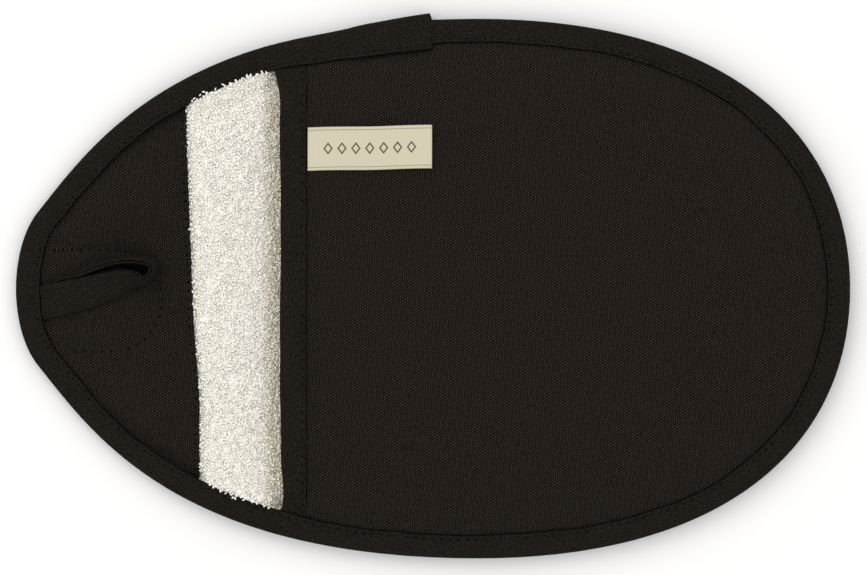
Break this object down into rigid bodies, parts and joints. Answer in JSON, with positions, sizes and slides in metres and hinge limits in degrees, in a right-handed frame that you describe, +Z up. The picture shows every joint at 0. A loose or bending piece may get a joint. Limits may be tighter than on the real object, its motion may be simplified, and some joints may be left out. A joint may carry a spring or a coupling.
{
  "type": "oven mitt",
  "caption": "Egg-shaped padded pocket mitt with a terry lining, bound edges, a sewn hanging loop, a woven side label and a magnet in its tip.",
  "frame": {"origin": "on the flat back face, midway along the length and on the line of symmetry", "axes": "+X from the tip with the hanging loop towards the round pocket end; +Z up from the back face, out of the pocket front; +Y across the width"},
  "size_m": [0.3, 0.194, 0.0186],
  "materials": {
    "canvas": "black plain-weave cotton canvas, matt",
    "binding_tape": "black fine twill cotton tape, smoother than the canvas",
    "terry": "cream looped terry towelling",
    "wadding": "needled off-white wadding",
    "label_cloth": "cream damask-woven label ribbon",
    "thread": "black spun polyester sewing thread",
    "magnet": "nickel-plated disc"
  },
  "bodies": {
    "mitt": {"back_canvas": "canvas", "back_wadding": "wadding", "back_terry": "terry", "tip_facing": "canvas", "tip_magnet": "magnet", "front_terry": "terry", "front_wadding": "wadding", "front_canvas": "canvas", "mouth_binding": "binding_tape", "edge_binding": "binding_tape", "edge_stitching": "thread", "mouth_stitching": "thread", "facing_stitching": "thread", "magnet_stitching": "thread"},
    "loop": {"hanging_loop": "binding_tape"},
    "side_label": {"label": "label_cloth"}
  },
  "joints": [
    {"name": "loop_flap", "type": "hinge", "parent": "mitt", "child": "loop", "pos_m": [-0.1406, -0.0044, 0.007], "axis": [0, -1, 0], "range_deg": [0, 150]},
    {"name": "label_flap", "type": "hinge", "parent": "mitt", "child": "side_label", "pos_m": [-0.04515, 0.0499, 0.0183], "axis": [0, -0.9975, 0.0706], "range_deg": [0, 170]}
  ]
}
